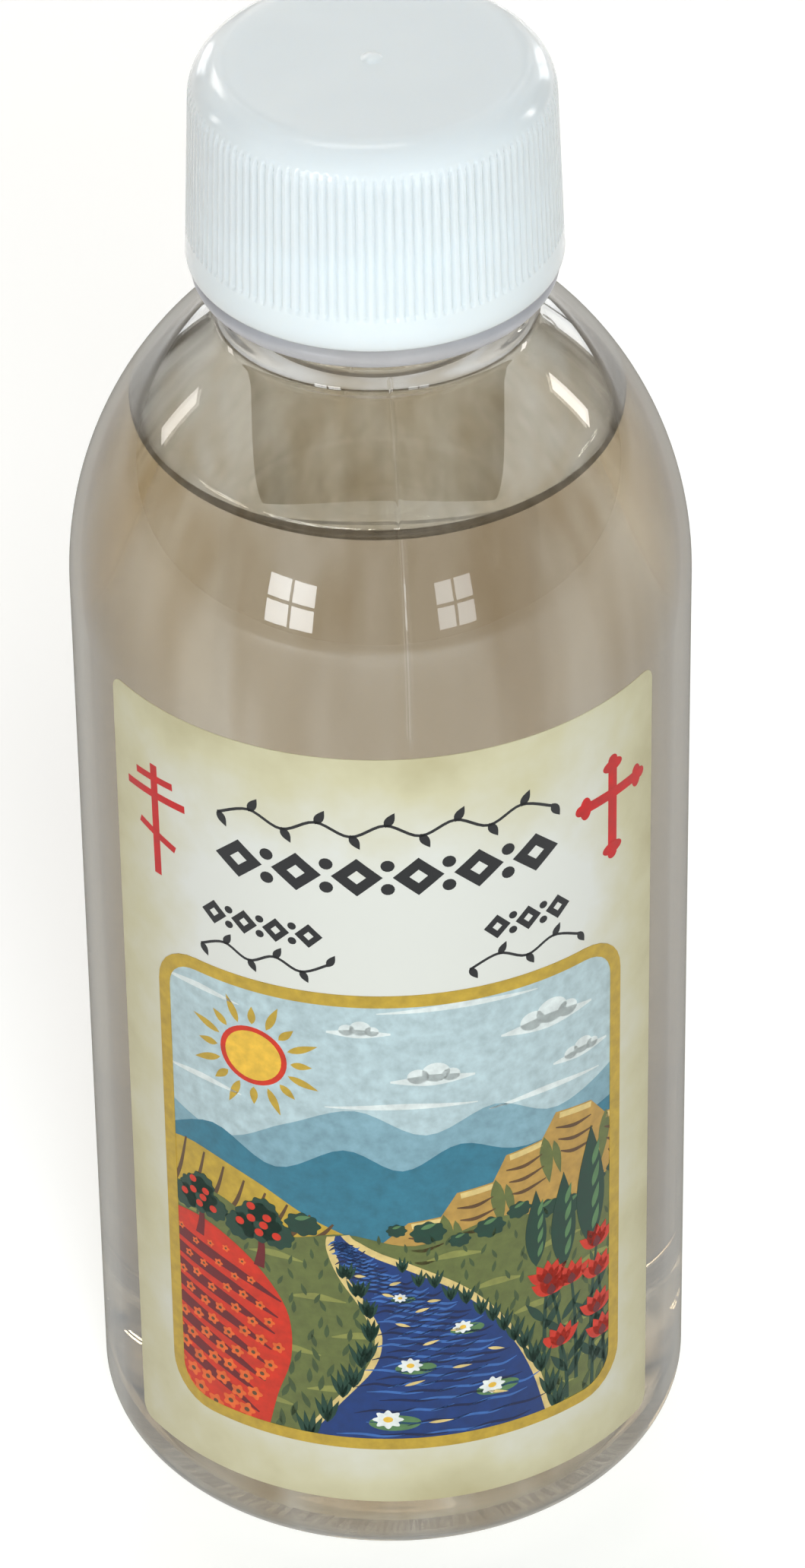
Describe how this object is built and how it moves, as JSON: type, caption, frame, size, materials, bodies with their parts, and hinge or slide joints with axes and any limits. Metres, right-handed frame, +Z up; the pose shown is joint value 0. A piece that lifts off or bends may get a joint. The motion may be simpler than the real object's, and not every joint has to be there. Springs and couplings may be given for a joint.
{
  "type": "holy water bottle",
  "caption": "Small clear bottle of water with a rounded shoulder, a threaded neck, a white ribbed screw cap with a sealing liner, and a printed paper label on the front.",
  "frame": {"origin": "centre of the base, on the surface that the bottle stands on", "axes": "+Z up along the bottle's axis, the label faces -Y, +X to the right of a viewer who faces the label"},
  "size_m": [0.052, 0.0521, 0.1391],
  "materials": {
    "clear_pet": "clear, smooth and glossy blown plastic",
    "water": "clear liquid",
    "label_paper": "printed off-white paper with a soft sheen",
    "white_cap": "cool white, satin gloss",
    "liner_foam": "white closed-cell foam"
  },
  "bodies": {
    "bottle": {"bottle": "clear_pet", "water": "water", "label": "label_paper"},
    "liner": {"cap_liner": "liner_foam"},
    "cap": {"cap": "white_cap"}
  },
  "joints": [
    {"name": "cap_lift", "type": "slide", "parent": "bottle", "child": "liner", "axis": [0, 0, 1], "range_m": [0, 0.02116]},
    {"name": "cap_turn", "type": "hinge", "parent": "liner", "child": "cap", "pos_m": [0, 0, 0.1209], "axis": [0, 0, 1], "range_deg": [0, 1800]}
  ],
  "couplings": [
    {"joint": "cap_turn", "follows": "cap_lift", "rad_per_m": 1484.3}
  ]
}
